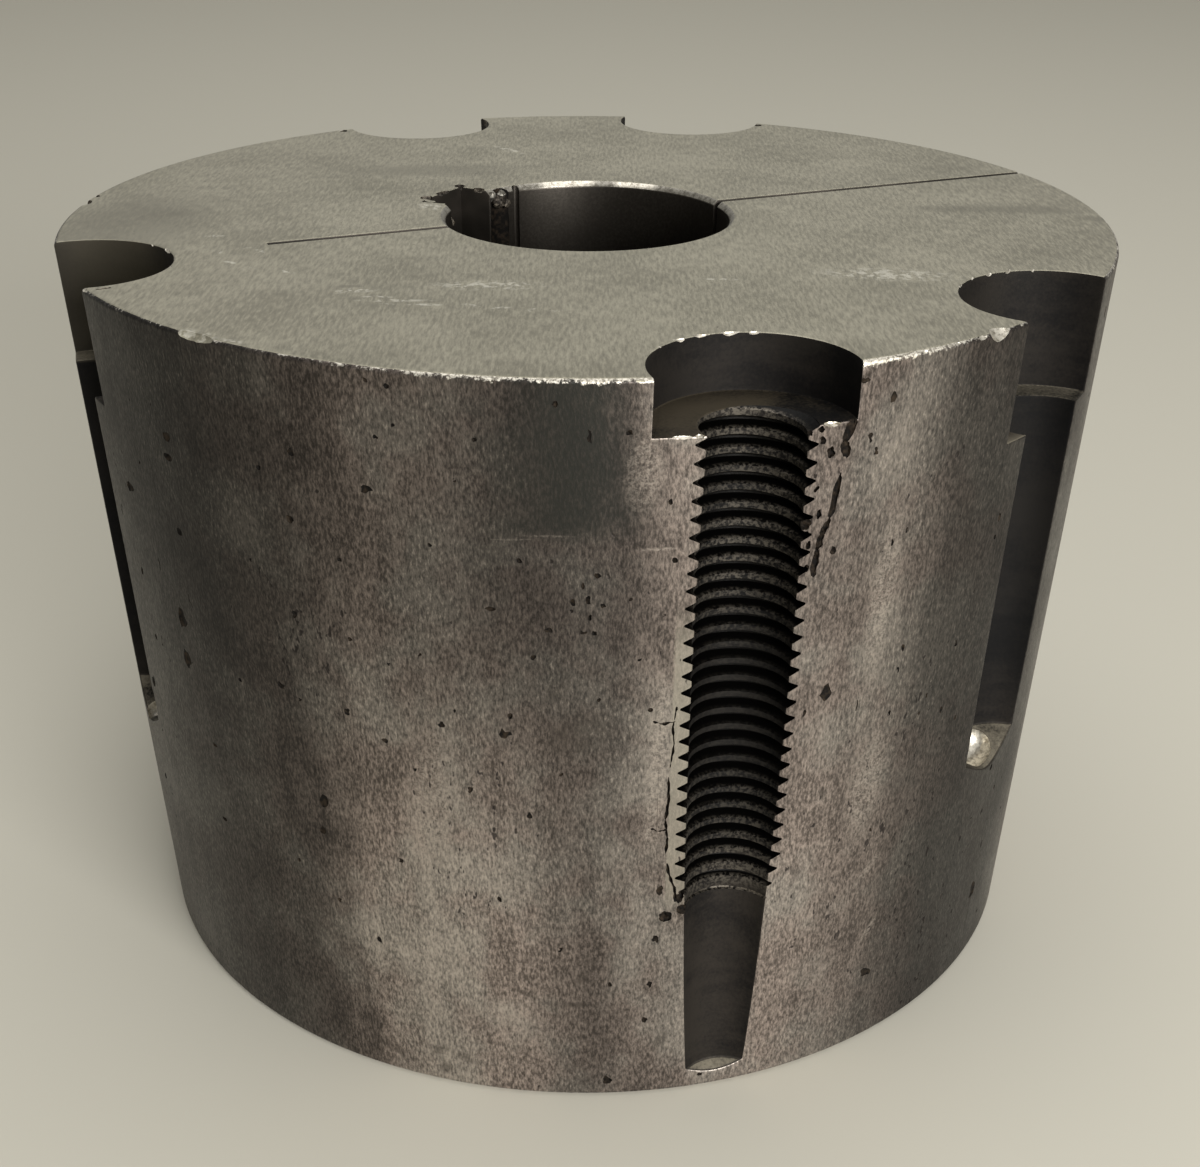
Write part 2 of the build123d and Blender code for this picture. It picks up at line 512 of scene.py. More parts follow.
KEYWAY_WIDTH = 7.94 * MM
KEYWAY_DEPTH = 3.97 * MM
KEYWAY_ANGLE = 127.6
SAW_WIDTH = 0.9 * MM
RELIEF_REACH = 39.9 * MM
# How far a tool runs past a face that it cuts through.
OVERRUN = 5.0 * MM


def bored_iron():
    """Smooth oily iron, dark, with faint rings from the boring bar."""
    material, tree, where = new_material("bored iron")
    grain = use_group(tree, GRAIN, Vector=where)
    rings = noise(tree, stretched(tree, where, (0.1, 0.1, 3.0)), 900.0, 2.0)
    tone = spread(tree, maths(tree, "ADD", grain["Blotch"], grain["Grain"]), 0.7, 1.4)
    color = blend(tree, tone, (0.034, 0.029, 0.023, 1), (0.06, 0.052, 0.042, 1))
    finish_shader(material, color, 0.36, 0.8, rings, 0.1, 0.00005)
    return material


def broken_iron():
    """Rubbed arrises and fresh breaks, bright and coarse."""
    material, tree, where = new_material("broken iron")
    coarse = noise(tree, where, 1600.0, 3.0, 0.7)
    color = blend(tree, spread(tree, coarse, 0.3, 0.6), BARE_DULL, BARE_BRIGHT)
    # The bore's chamfer is duller, apart from two rubbed stretches.
    out = put(tree, "ShaderNodeVectorMath", operation="LENGTH")
    feed(tree, out.inputs[0], stretched(tree, where, (1.0, 1.0, 0.0)))
    by_bore = spread(tree, out.outputs["Value"], 20.5 * MM, 19.5 * MM)
    rubbed = ((4.2, 17.4, -14, 4.6, 2.6), (12.2, 13.1, -43, 3.6, 2.6))
    bright = strokes(tree, stretched(tree, where, (1 / MM, 1 / MM, 0.0)), 1.0, rubbed)
    dull = maths(tree, "MULTIPLY", by_bore, spread(tree, bright, 0.0, 0.8, 0.5, -0.35))
    color = blend(tree, 1.0, color, maths(tree, "SUBTRACT", 1.0, dull), "MULTIPLY")
    finish_shader(material, color, 0.42, 0.9, coarse, 0.35, 0.0001)
    return material


def sawn_iron():
    """The walls of the saw cuts and the keyway, dull and dark."""
    material, tree, where = new_material("sawn iron")
    tooth_marks = noise(tree, stretched(tree, where, (0.2, 0.2, 2.0)), 700.0, 3.0)
    grain = use_group(tree, GRAIN, Vector=where)
    tone = spread(tree, grain["Blotch"], 0.35, 0.65)
    color = blend(tree, tone, (0.02, 0.017, 0.013, 1), (0.06, 0.05, 0.04, 1))
    finish_shader(material, color, 0.55, 0.7, tooth_marks, 0.3, 0.0001)
    return material


def apply(piece, modifier):
    only(piece)
    bpy.ops.object.modifier_apply(modifier=modifier.name)


def cut(piece, cutter, operation="DIFFERENCE"):
    """Takes the cutter out of the piece, or adds it, with the cutter's finish on each new face."""
    made = piece.modifiers.new("cut", "BOOLEAN")
    made.operation = operation
    made.solver = "MANIFOLD"
    made.material_mode = "TRANSFER"
    made.object = cutter
    apply(piece, made)
    bpy.data.objects.remove(cutter)


SAWN = sawn_iron()
BORED = bored_iron()
BROKEN = broken_iron()

bush.data.materials.append(BORED)
bush.data.materials.append(BROKEN)
ON_TAPER, ON_END, IN_BORE, ON_CHAMFER = range(4)
only(bush)
for face in bush.data.polygons:
    middle = face.center
    if abs(face.normal.z) > 0.9:
        face.material_index = ON_END
    elif math.hypot(middle.x, middle.y) < BORE_RADIUS + 1.0 * MM:
        face.material_index = ON_CHAMFER if face.normal.z > 0.3 else IN_BORE


def long_blade(width, reach, angle):
    """A blade as long as the bush, from the bore's axis out to a radius."""
    turn = math.radians(angle)
    clear()
    bpy.ops.mesh.primitive_cube_add(size=1.0)
    blade = bpy.context.object
    blade.scale = (reach, width, BODY_LENGTH + 2 * OVERRUN)
    blade.rotation_euler = (0, 0, turn)
    middle = Vector((math.cos(turn), math.sin(turn), 0)) * reach / 2
    blade.location = middle + Vector((0, 0, BODY_LENGTH / 2))
    return done(blade, SAWN)


cut(bush, long_blade(KEYWAY_WIDTH, BORE_RADIUS + KEYWAY_DEPTH, KEYWAY_ANGLE))
cut(bush, long_blade(SAW_WIDTH, LARGE_RADIUS + OVERRUN, 0.0))
cut(bush, long_blade(SAW_WIDTH, RELIEF_REACH, 180.0))


# The half-holes round the rim: three plain ones take the clamping screws, two tapped ones
# take the screws that jack the bush out. Each is drilled to a 118 degree point and
# counterbored for the screw's head, and the taper leaves about half of its wall.

# The radius of the circle that the holes' axes stand on.
HOLE_CIRCLE = 61.34 * MM
CLAMP_ANGLES = (-58.3, 53.2, 180.7)
JACK_ANGLES = (-97.3, 92.2)
CLAMP_HOLE_RADIUS = 6.745 * MM
CLAMP_HOLE_FLOOR = 33.7 * MM
JACK_HOLE_RADIUS = 5.25 * MM
JACK_HOLE_FLOOR = 3.1 * MM
COUNTERBORE_RADIUS = 10.32 * MM
CLAMP_LEDGE = BODY_LENGTH - 13.3 * MM
JACK_LEDGE = BODY_LENGTH - 6.0 * MM
DRILL_POINT_ANGLE = math.radians(118)


def from_jack_axes(tree, split):
    """How far a point lies from the nearer tapped hole's axis."""
    nearest = None
    for angle in JACK_ANGLES:
        turn = math.radians(angle)
        east = maths(tree, "SUBTRACT", split.outputs["X"], HOLE_CIRCLE * math.cos(turn))
        north = maths(tree, "SUBTRACT", split.outputs["Y"], HOLE_CIRCLE * math.sin(turn))
        squares = [maths(tree, "MULTIPLY", side, side) for side in (east, north)]
        away = maths(tree, "SQRT", maths(tree, "ADD", *squares))
        nearest = away if nearest is None else maths(tree, "MINIMUM", nearest, away)
    return nearest


def crest_wear_and_shade(tree, split, grain):
    """Where the thread's crests are rubbed pale, in patches, with painted shade that darkens them towards
    the middle of the thread.
    """
    broken = maths(
        tree,
        "MULTIPLY",
        spread(tree, grain["Grain"], 0.4, 0.62),
        spread(tree, grain["Blotch"], 0.3, 0.6, 0.4, 1.0),
    )
    # Painted shade: the crests are darkened towards the middle of the thread, where it lies in shadow.
    high = spread(tree, split.outputs["Z"], 52 * MM, 70 * MM)
    low = spread(tree, split.outputs["Z"], 46 * MM, 36 * MM)
    ends = spread(tree, maths(tree, "ADD", high, low), 0.0, 1.0, 0.1, 1.0)
    return maths(tree, "MULTIPLY", broken, ends)


def drilled_iron():
    """Oily drilled walls, painted darkest high up as painted shade, with brown oil and dust on the
    ledges.
    """
    material, tree, where = new_material("drilled iron")
    grain = use_group(tree, GRAIN, Vector=where)
    rings = noise(tree, stretched(tree, where, (0.25, 0.25, 1.6)), 500.0, 2.0)
    tone = maths(tree, "ADD", grain["Blotch"], maths(tree, "MULTIPLY", grain["Grain"], 0.4))
    tone = spread(tree, maths(tree, "ADD", tone, maths(tree, "MULTIPLY", rings, 0.3)), 0.66, 1.04)
    color = blend(tree, tone, (0.004, 0.003, 0.0025, 1), (0.026, 0.021, 0.016, 1))
    facing = put(tree, "ShaderNodeSeparateXYZ")
    feed(tree, facing.inputs[0], put(tree, "ShaderNodeNewGeometry").outputs["True Normal"])
    ledge = spread(tree, facing.outputs["Z"], 0.6, 0.95)
    split = put(tree, "ShaderNodeSeparateXYZ")
    feed(tree, split.inputs[0], where)
    level = split.outputs["Z"]
    in_counterbore = spread(tree, level, CLAMP_LEDGE - 0.4 * MM, CLAMP_LEDGE)

    # Painted shade: the walls are darkest between the drill's point and the counterbore.
    hole_shade = spread(tree, level, 26 * MM, 44 * MM, 0.8, 0.25)
    hole_shade = maths(tree, "ADD", hole_shade, maths(tree, "MULTIPLY", in_counterbore, 0.25))
    color = blend(tree, 1.0, color, hole_shade, "MULTIPLY")

    # The flats that the tap leaves on the thread's crests.
    crest = spread(tree, from_jack_axes(tree, split), 5.6 * MM, 5.4 * MM)
    crest = maths(tree, "MULTIPLY", crest, spread(tree, level, 26.5 * MM, 28 * MM))
    crest = maths(tree, "MULTIPLY", crest, crest_wear_and_shade(tree, split, grain))
    color = blend(tree, crest, color, (0.068, 0.059, 0.046, 1))

    # Dust on the ledges, pale on the deep ones, browner on the shallow ones.
    dusty = spread(tree, level, 78 * MM, 81 * MM)
    dusty = blend(tree, dusty, (0.2, 0.175, 0.13, 1), (0.058, 0.046, 0.029, 1))
    color = blend(tree, maths(tree, "MULTIPLY", ledge, tone), color, dusty)

    # One counterbore's wall is dry, and oil lies on part of two ledges.
    millimetres = stretched(tree, where, (1 / MM, 1 / MM, 0.0))
    dry = strokes(tree, millimetres, 1.0, ((-57.0, 7.0, 0, 9.0, 9.0),))
    dry = maths(tree, "MULTIPLY", maths(tree, "MULTIPLY", dry, 0.34), in_counterbore)
    color = blend(tree, dry, color, (0.09, 0.078, 0.052, 1))
    pools = ((25.2, -54.0, 25, 6.0, 3.6), (-58.8, -8.6, 80, 6.0, 3.6))
    oily = maths(tree, "MULTIPLY", strokes(tree, millimetres, 1.0, pools), ledge)
    color = blend(tree, maths(tree, "MULTIPLY", oily, 0.85), color, (0.03, 0.023, 0.016, 1))
    finish_shader(material, color, 0.72, 0.75, rings, 0.12, 0.0001)
    return material


DRILLED = drilled_iron()


def counterbore(angle, floor, radius=COUNTERBORE_RADIUS, sides=128):
    """A cylinder on the hole circle, from a floor up past the large end."""
    turn = math.radians(angle)
    top = BODY_LENGTH + OVERRUN
    middle = (HOLE_CIRCLE * math.cos(turn), HOLE_CIRCLE * math.sin(turn), (top + floor) / 2)
    clear()
    bpy.ops.mesh.primitive_cylinder_add(
        vertices=sides, radius=radius, depth=top - floor, location=middle
    )
    return done(bpy.context.object, DRILLED)


def drill(angle, floor, radius):
    """A drill as a solid: a cylinder whose lower face is drawn down to the drill's point."""
    made = counterbore(angle, floor, radius, 96)
    pick(made, lambda middle, normal: normal.z < -0.9)
    drop = -radius / math.tan(DRILL_POINT_ANGLE / 2)
    bpy.ops.mesh.extrude_region_move(TRANSFORM_OT_translate={"value": (0, 0, drop)})
    bpy.ops.mesh.merge(type="CENTER")
    bpy.ops.object.mode_set(mode="OBJECT")
    return made


for angle in CLAMP_ANGLES:
    cut(bush, drill(angle, CLAMP_HOLE_FLOOR, CLAMP_HOLE_RADIUS))
    cut(bush, counterbore(angle, CLAMP_LEDGE))
for angle in JACK_ANGLES:
    cut(bush, drill(angle, JACK_HOLE_FLOOR, JACK_HOLE_RADIUS))
    cut(bush, counterbore(angle, JACK_LEDGE))

# The slivers where two cuts meet are merged away.
edit(bush, "VERT")
bpy.ops.mesh.select_all(action="SELECT")
bpy.ops.mesh.remove_doubles(threshold=0.04 * MM)
bpy.ops.mesh.dissolve_degenerate(threshold=0.01 * MM)
bpy.ops.object.mode_set(mode="OBJECT")


# The arrises that the tools left between the machined faces are broken with a file. Each
# level face is made one face first, and flat edges close beside an arris are dissolved,
# because they would draw the file's narrow bevel out into long flaps.

FILED = 0.2 * MM
# An edge is an arris where its faces meet at more than the first angle, and flat under the next.
SHARP = math.radians(32)
FLAT = math.radians(2)
# A flat edge is dissolved where it passes an arris this closely, at under this angle.
CLOSE = 0.35 * MM
SHALLOW = math.radians(30)
# All the arrises but those of the bore and the keyway reach further out than this.
KEYWAY_CLEAR = 30.0 * MM

pick(bush, lambda middle, normal: abs(normal.z) > 0.9999)
bpy.ops.mesh.dissolve_limited(angle_limit=math.radians(0.1))


def beside_arris(edge, arrises):
    """True for an edge that an arris touches or passes closely, at a shallow angle."""
    start, end = (corner.co for corner in edge.verts)
    for arris in arrises:
        lean = (end - start).angle(arris[1] - arris[0])
        if min(lean, math.pi - lean) > SHALLOW:
            continue
        for point in arris:
            foot, share = intersect_point_line(point, start, end)
            if -0.01 < share < 1.01 and (point - foot).length < CLOSE:
                return True
    return False


edit(bush, "EDGE")
shell = bmesh.from_edit_mesh(bush.data)
on_taper = [
    edge for edge in shell.edges if any(face.material_index == ON_TAPER for face in edge.link_faces)
]
arrises = [
    [corner.co.copy() for corner in edge.verts]
    for edge in on_taper
    if edge.calc_face_angle(0.0) > SHARP
]
flat_edges = [edge for edge in on_taper if edge.calc_face_angle(math.pi) < FLAT]
spare = [edge for edge in flat_edges if beside_arris(edge, arrises)]
bmesh.ops.dissolve_edges(shell, edges=spare)
# The keyway's two inner corners stay as sharp as the broach left them.
for edge in shell.edges:
    outer = max(corner.co.xy.length for corner in edge.verts) > KEYWAY_CLEAR
    edge.select_set((outer or edge.is_convex) and edge.calc_face_angle(0.0) > SHARP)
bmesh.update_edit_mesh(bush.data)
bpy.ops.mesh.bevel(offset=FILED, segments=2, affect="EDGES", clamp_overlap=False)
# The faces with many corners are no longer quite flat, and only triangles cut cleanly.
bpy.ops.mesh.select_all(action="SELECT")
bpy.ops.mesh.quads_convert_to_tris(quad_method="BEAUTY", ngon_method="BEAUTY")
bpy.ops.object.mode_set(mode="OBJECT")


# Knocks, torn metal and rust. The rim is chipped where the bush has been struck and
# dropped, a key has torn the mouth of its keyway, and rust has pitted the taper. Each
# hurt is a rough lump cut out of the iron, and leaves a bright, a torn or a rusty face.


def torn_iron():
    """Old tears, dark in their depths and a little brighter on their points."""
    material, tree, where = new_material("torn iron")
    coarse = noise(tree, where, 1100.0, 5.0, 0.7)
    color = blend(tree, spread(tree, coarse, 0.42, 0.72), (0.018, 0.014, 0.01, 1), (0.2, 0.17, 0.13, 1))
    finish_shader(material, color, 0.5, 0.7, coarse, 0.6, 0.0003)
    return material


def pitted_iron():
    """The bottoms of rust pits, almost black, with brown rust."""
    material, tree, where = new_material("pitted iron")
    coarse = noise(tree, where, 1500.0, 3.0, 0.6)
    color = blend(tree, spread(tree, coarse, 0.4, 0.7), (0.004, 0.003, 0.002, 1), (0.03, 0.021, 0.013, 1))
    finish_shader(material, color, 0.8, 0.8, coarse, 0.4, 0.0002)
    return material


TORN = torn_iron()
PITTED = pitted_iron()


def taper_radius(height):
    """The turned taper's radius in millimetres at a height in millimetres."""
    return SMALL_RADIUS / MM + height * TAPER


def joined(pieces):
    clear()
    for piece in pieces:
        piece.select_set(True)
    bpy.context.view_layer.objects.active = pieces[0]
    bpy.ops.object.join()
    return pieces[0]


def lump(angle, radius, height, size, material, detail=3, lean=0.0):
    """A ball squashed to a size: out from the axis, along the rim, and up. Millimetres."""
    turn = math.radians(angle)
    clear()
    bpy.ops.mesh.primitive_ico_sphere_add(subdivisions=detail, radius=0.5)
    made = bpy.context.object
    made.scale = Vector(size) * MM
    made.rotation_euler = (math.radians(lean), 0, turn)
    made.location = Vector((radius * math.cos(turn), radius * math.sin(turn), height)) * MM
    return done(made, material)


def roughened(piece, grain, depth):
    """Moves a piece's surface in and out at random, by up to half the depth each way."""
    clouds = bpy.data.textures.new("rough iron", "CLOUDS")
    clouds.noise_scale = grain * MM
    clouds.noise_depth = 2
    rough = piece.modifiers.new("rough", "DISPLACE")
    rough.texture = clouds
    rough.texture_coords = "LOCAL"
    rough.mid_level = 0.5
    rough.strength = depth * MM
    apply(piece, rough)
    return piece


def knocked(marks, material, grain, depth, detail=3):
    """Cuts a row of lumps out of the bush in two goes, so that neighbours may overlap."""
    for first in (0, 1):
        row = [lump(*mark[:4], material, detail, *mark[4:]) for mark in marks[first::2]]
        if row:
            cut(bush, roughened(joined(row), grain, depth))


# The whole rim of the large end is worn a little ragged, and chipped here and there.
RING_CLEAR = 0.45 * MM
clear()
bpy.ops.mesh.primitive_torus_add(
    major_segments=480,
    minor_segments=14,
    major_radius=LARGE_RADIUS + RING_CLEAR,
    minor_radius=0.8 * MM,
    location=(0, 0, BODY_LENGTH + RING_CLEAR),
)
cut(bush, roughened(done(bpy.context.object, BROKEN), 2.4, 0.34))

chance = random.Random(7)
rim_chips = [
    (-74.4, 64.2, 89.2, (2.2, 2.4, 2.0)),
    (-72.0, 66.4, 91.8, (10.0, 5.6, 10.0)),
    (-51.0, 63.1, 89.0, (1.6, 1.8, 1.2)),
    (-21.6, 65.6, 90.4, (5.0, 4.6, 6.0)),
    (-25.6, 65.8, 90.6, (5.0, 5.0, 6.6)),
]
for start, end, count in ((-131.0, -112.0, 8), (-88.0, -76.0, 6), (-12.0, 226.0, 12)):
    for step in range(count):
        angle = start + (end - start) * (step + 0.6 * chance.random()) / count
        deep = 0.9 + 0.8 * chance.random()
        long = 1.2 + 2.4 * chance.random()
        tall = 0.7 + 0.7 * chance.random()
        rim_chips.append((angle, 63.9, 89.05, (deep, long, tall)))
knocked(rim_chips, BROKEN, 1.1, 0.45, 4)

# Old dents in the rim, which have worn as dull as the face beside them.
dents = [
    (-109.8, 64.7, 89.4, (3.0, 4.8, 2.6)),
    (-107.9, 65.0, 89.5, (3.8, 4.4, 3.7)),
    (-149.6, 64.2, 89.1, (3.0, 7.0, 2.0)),
    (-145.8, 64.0, 89.1, (1.6, 3.0, 1.2)),
]
knocked(dents, FACED, 1.6, 0.3, 4)

# The broken corners between the holes behind.
knocked(
    [
        (83.2, 61.2, 88.6, (2.6, 1.8, 2.4)),
        (62.3, 61.0, 88.9, (2.6, 1.6, 1.6)),
        (103.4, 62.6, 88.9, (1.8, 1.2, 1.0)),
        (43.0, 61.6, 88.9, (1.6, 1.2, 1.0)),
        (153.6, 63.6, 88.8, (2.4, 3.2, 2.2)),
        (150.2, 63.4, 88.9, (1.6, 1.4, 1.6)),
        (-168.6, 61.6, 88.9, (1.5, 0.4, 0.7)),
    ],
    TORN,
    1.6,
    0.5,
)

# Nicks round the back edges of the counterbores, on the ledges, and at the drilled ends.
nicks = []
for centre, offsets in (
    (JACK_ANGLES[0], (-9, -7, -4.5, -2, 1, 3.5)),
    (CLAMP_ANGLES[0], (-5, -2.5, 1, 4, 6, 8)),
    (CLAMP_ANGLES[2], (-5, -2, 2, 5)),
):
    for off in offsets:
        aside = HOLE_CIRCLE * math.radians(off)
        reach = math.sqrt(max(COUNTERBORE_RADIUS**2 - aside**2, 0.0))
        deep = 0.4 + 0.3 * chance.random()
        long = 1.2 + 1.8 * chance.random()
        tall = 0.4 + 0.3 * chance.random()
        nicks.append((centre + off, (HOLE_CIRCLE - reach) / MM, 88.95, (deep, long, tall)))
nicks += [
    (-104.2, 63.1, 82.9, (0.7, 2.2, 0.4)),
    (-102.5, 62.9, 82.9, (0.8, 0.8, 0.5)),
    (-90.4, 63.0, 82.8, (0.9, 2.0, 0.5)),
    (-58.6, 57.0, 32.8, (5.0, 7.6, 5.0)),
    (-60.6, 59.2, 35.4, (2.2, 2.4, 2.8)),
    (-63.9, 59.8, 37.9, (1.2, 1.0, 2.6)),
    (-173.1, 59.7, 36.6, (1.6, 1.2, 4.0)),
    (180.2, 58.4, 31.6, (3.2, 3.2, 3.6)),
    (53.8, 58.3, 31.8, (3.0, 3.2, 3.4)),
]
knocked(nicks, BROKEN, 0.9, 0.45)


def crack(corners, wide):
    """A broken line of angles and heights as a row of thin lumps, laid end to end."""
    row = []
    for (angle, height), (next_angle, next_height) in zip(corners, corners[1:]):
        middle = (height + next_height) / 2
        across = math.radians(next_angle - angle) * taper_radius(middle)
        rise = next_height - height
        size = (0.8, wide, 1.2 * math.hypot(across, rise))
        lean = math.degrees(math.atan2(-across, rise))
        row.append(((angle + next_angle) / 2, taper_radius(middle), middle, size, lean))
    return row


# The jacking screw has cracked the iron along the edge of the front thread.
for corners, wide, rough in (
    (((-103.6, 52.8), (-103.9, 50.6), (-103.7, 48.4), (-104.0, 45.6)), 0.22, 0.34),
    (((-104.1, 44.1), (-104.0, 41.5), (-104.3, 38.8), (-104.0, 36.5), (-104.1, 34.6)), 0.3, 0.4),
    (((-103.9, 33.0), (-103.6, 31.4), (-103.0, 29.6), (-102.9, 28.0)), 0.36, 0.4),
):
    knocked(crack(corners, wide), PITTED, 0.6, rough)

# Short cracks run off from it, and dark scars and small bursts lie along the other edge of
# the thread. The last three are bursts along the edges of the thread behind.
scars = []
for corners, wide in (
    (((-105.7, 51.3), (-104.9, 51.0), (-103.8, 51.2)), 0.24),
    (((-105.7, 37.9), (-105.1, 37.5), (-104.3, 37.6)), 0.26),
    (((-88.2, 83.2), (-89.0, 80.7), (-88.6, 79.2)), 1.15),
    (((-89.1, 77.2), (-89.8, 72.6), (-90.4, 71.0), (-90.7, 69.4), (-90.9, 66.4)), 0.8),
):
    scars += crack(corners, wide)
for angle, height, wide, tall in (
    (-103.9, 25.9, 1.3, 1.5), (-101.9, 26.7, 1.5, 1.4), (-102.4, 28.4, 0.9, 1.3),
    (-92.7, 82.1, 1.0, 0.7), (-91.5, 82.4, 0.8, 0.7), (-90.3, 79.8, 0.9, 1.2),
    (-92.2, 72.4, 1.3, 1.2), (-93.2, 70.7, 1.2, 1.0), (-92.1, 71.2, 0.9, 0.8),
    (-91.2, 81.3, 0.6, 0.9), (-92.3, 79.0, 0.7, 0.6), (-90.9, 73.3, 0.6, 1.2), (-91.4, 76.1, 0.5, 0.7),
    (-91.7, 70.0, 0.5, 0.9), (-91.7, 67.4, 0.5, 0.8), (-92.8, 77.3, 0.8, 0.6),
    (86.2, 66.0, 1.3, 3.4), (98.4, 48.0, 1.4, 2.6), (86.9, 34.0, 1.2, 4.0),
):
    scars.append((angle, taper_radius(height), height, (1.1, wide, tall)))
knocked(scars, PITTED, 0.45, 0.6)

# Rust pits, each by its angle, its height on the taper, how wide it is and how tall: some are
# placed, and the rest are strewn over the back and right of the side, clear of the others.
PIT_COUNT = 170
CLEAR_DEGREES = 2.2
CLEAR_HEIGHT = 3.0
PITS = (
    (-156.3, 76.2, 1.5, 1.3), (-156.6, 73.9, 1.6, 0.9), (-166.2, 67.1, 1.9, 1.4),
    (-156.9, 65.2, 1.3, 1.1), (-159.3, 53.3, 1.7, 2.8), (-159.8, 47.9, 1.5, 2.7),
    (-139.7, 78.8, 0.9, 0.9), (-143.6, 76.3, 0.6, 0.6), (-140.7, 71.2, 0.9, 1.1),
    (-132.2, 76.1, 1.4, 0.9), (-129.1, 83.3, 0.5, 0.6), (-130.8, 81.8, 0.6, 0.6),
    (-141.6, 60.0, 0.8, 1.0), (-144.5, 50.5, 1.2, 0.8), (-126.4, 50.0, 0.7, 0.9),
    (-136.6, 49.6, 0.8, 0.9), (-131.3, 87.6, 0.6, 0.5), (-129.4, 87.2, 0.8, 0.6),
    (-115.0, 86.4, 0.6, 0.7), (-112.0, 83.0, 0.5, 1.5), (-108.6, 83.6, 0.6, 0.6),
    (-104.9, 76.3, 0.5, 0.7), (-111.3, 68.4, 0.6, 0.7), (-112.6, 67.3, 0.5, 1.0),
    (-112.1, 65.7, 0.5, 1.1), (-113.5, 65.5, 0.5, 0.9), (-110.8, 65.0, 0.5, 0.7),
    (-113.6, 64.4, 0.5, 0.6), (-111.9, 63.8, 0.5, 0.7), (-112.5, 62.1, 0.8, 0.5),
    (-111.5, 62.0, 0.5, 0.6), (-115.7, 62.3, 0.8, 0.6), (-117.2, 59.0, 0.6, 0.7),
    (-121.1, 64.4, 1.2, 0.5), (-119.6, 51.9, 0.5, 0.7),
    (-106.1, 52.8, 0.5, 0.6), (-89.0, 68.8, 0.7, 1.1), (-88.2, 51.9, 1.3, 2.3),
    (-55.5, 10.9, 1.8, 2.6), (-109.8, 2.4, 1.2, 1.3), (-77.7, 10.4, 2.0, 1.5), (-140.7, 36.8, 1.2, 1.9),
    (-141.5, 32.8, 0.9, 1.3), (-132.1, 31.5, 0.7, 0.8), (-120.1, 49.6, 1.5, 1.2),
    (-128.1, 58.2, 0.5, 0.5), (-131.5, 56.5, 0.5, 0.5), (-125.0, 51.9, 0.5, 0.5),
    (-132.6, 47.0, 0.6, 0.7), (-123.9, 42.3, 0.6, 0.8), (-129.6, 43.9, 0.5, 0.6),
    (-117.9, 39.7, 0.6, 0.7), (-114.8, 45.0, 0.5, 0.5), (-111.0, 54.2, 0.5, 0.6),
    (-146.3, 65.1, 0.5, 0.5), (-142.2, 49.5, 0.5, 0.6), (-104.6, 29.6, 0.9, 1.1),
    (-104.9, 22.8, 0.8, 1.0), (-105.3, 16.4, 0.7, 1.0), (-105.7, 11.3, 0.7, 0.9),
    (-86.4, 80.7, 0.6, 1.0), (-85.6, 79.2, 0.5, 0.9), (-84.4, 84.6, 0.6, 1.5), (-87.6, 86.8, 0.9, 0.7),
    (-82.4, 68.4, 0.4, 0.9), (-80.8, 69.4, 0.4, 0.8), (-67.0, 66.8, 0.4, 1.0), (-67.2, 64.4, 0.4, 0.8),
    (-69.3, 58.8, 0.4, 0.9), (-71.0, 53.0, 0.5, 1.1), (-79.1, 55.0, 0.4, 0.9), (-79.4, 52.4, 0.4, 0.8),
    (-84.2, 49.4, 0.3, 1.6), (-90.3, 50.0, 0.5, 0.9), (-75.3, 45.6, 0.4, 0.7), (-79.7, 47.0, 0.4, 0.9),
    (-74.6, 47.6, 0.4, 0.7), (-71.7, 44.6, 0.4, 1.0), (-68.8, 42.4, 0.4, 0.9), (-80.1, 31.8, 0.5, 0.7),
    (-140.3, 23.5, 0.7, 0.7), (-145.3, 27.3, 0.6, 0.6), (-135.6, 19.4, 0.7, 0.8),
    (-115.0, 21.7, 0.5, 0.7), (-121.3, 28.1, 0.5, 0.6), (-109.6, 16.7, 0.5, 0.7),
    (-99.0, 1.9, 0.6, 0.7), (-150.5, 49.2, 0.6, 0.5), (-157.1, 38.1, 0.8, 0.6),
    (-157.7, 27.4, 0.9, 0.7), (-135.6, 67.8, 0.5, 0.5), (-126.4, 70.9, 0.5, 0.5),
    (-123.7, 78.2, 0.5, 0.5), (-121.8, 82.5, 0.5, 0.5), (-135.4, 58.6, 0.5, 0.5),
    (-118.2, 70.0, 0.5, 0.5), (-108.3, 65.7, 0.5, 0.5), (-107.3, 58.8, 0.5, 0.7),
    (-105.1, 63.8, 0.5, 0.5), (-104.3, 69.9, 0.5, 0.7),
)


def pit(angle, height, wide, tall):
    """A lump sunk in the taper by less than half, drawn larger so that its mouth fits."""
    size = (1.0, 1.3 * wide, 1.3 * tall)
    return lump(angle, taper_radius(height) + 0.34, height, size, PITTED, 2)


pits = [pit(*place) for place in PITS]
places = [(place[0], place[1]) for place in PITS]
while len(pits) < PIT_COUNT:
    angle = -62.0 + 262.0 * chance.random()
    height = 3.0 + 82.0 * chance.random()
    if any(
        abs(angle - other) < CLEAR_DEGREES and abs(height - level) < CLEAR_HEIGHT
        for other, level in places
    ):
        continue
    places.append((angle, height))
    wide = 0.5 + 0.9 * chance.random() ** 3
    pits.append(pit(angle, height, wide, wide * (0.7 + chance.random())))
cut(bush, roughened(joined(pits), 0.45, 0.62))

